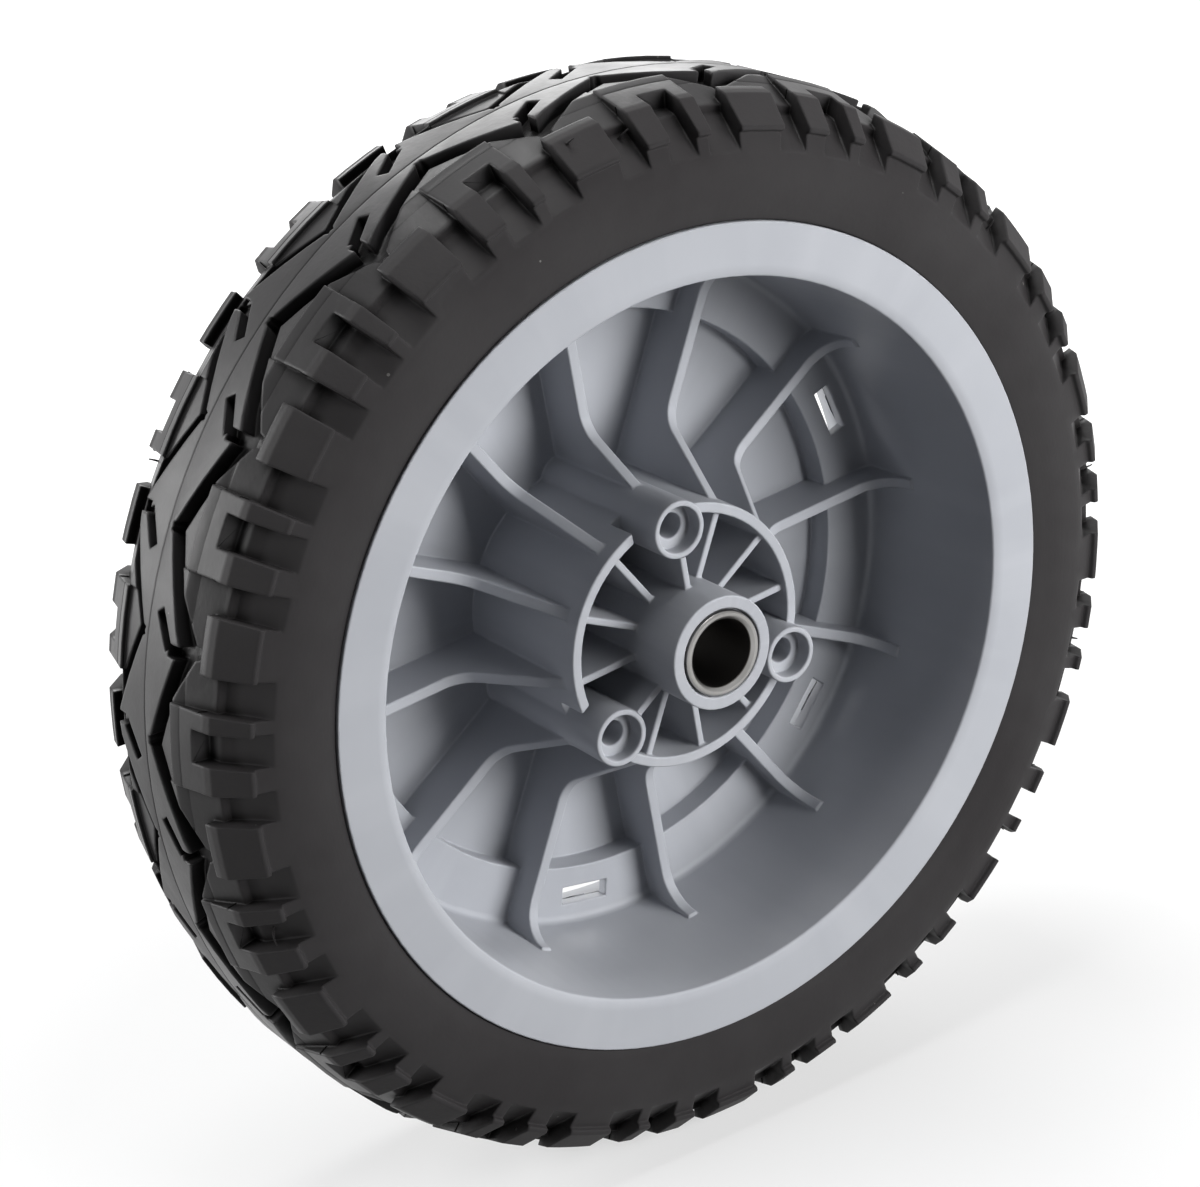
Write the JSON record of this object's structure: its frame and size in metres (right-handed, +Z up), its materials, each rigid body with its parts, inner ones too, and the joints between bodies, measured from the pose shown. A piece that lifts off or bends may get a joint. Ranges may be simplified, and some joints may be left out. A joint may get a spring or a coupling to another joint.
{
  "type": "lawn mower wheel",
  "caption": "Mower wheel: treaded rubber tyre on a moulded plastic wheel with radial vanes, screw bosses and a steel axle sleeve.",
  "frame": {"origin": "wheel's centre, on the axle line midway between the rim's two ring faces", "axes": "+Y along the axle, from the ribbed inner side out through the plain outer face; +Z up as the wheel stands on its tread; X forward"},
  "size_m": [0.2016, 0.0503, 0.2016],
  "materials": {
    "tyre": "satin moulded rubber",
    "wheel_body": "satin moulded plastic, pale blue-grey",
    "axle_sleeve": "bright turned steel"
  },
  "bodies": {
    "root": {"tyre": "tyre", "wheel_body": "wheel_body", "axle_sleeve": "axle_sleeve"}
  },
  "joints": []
}
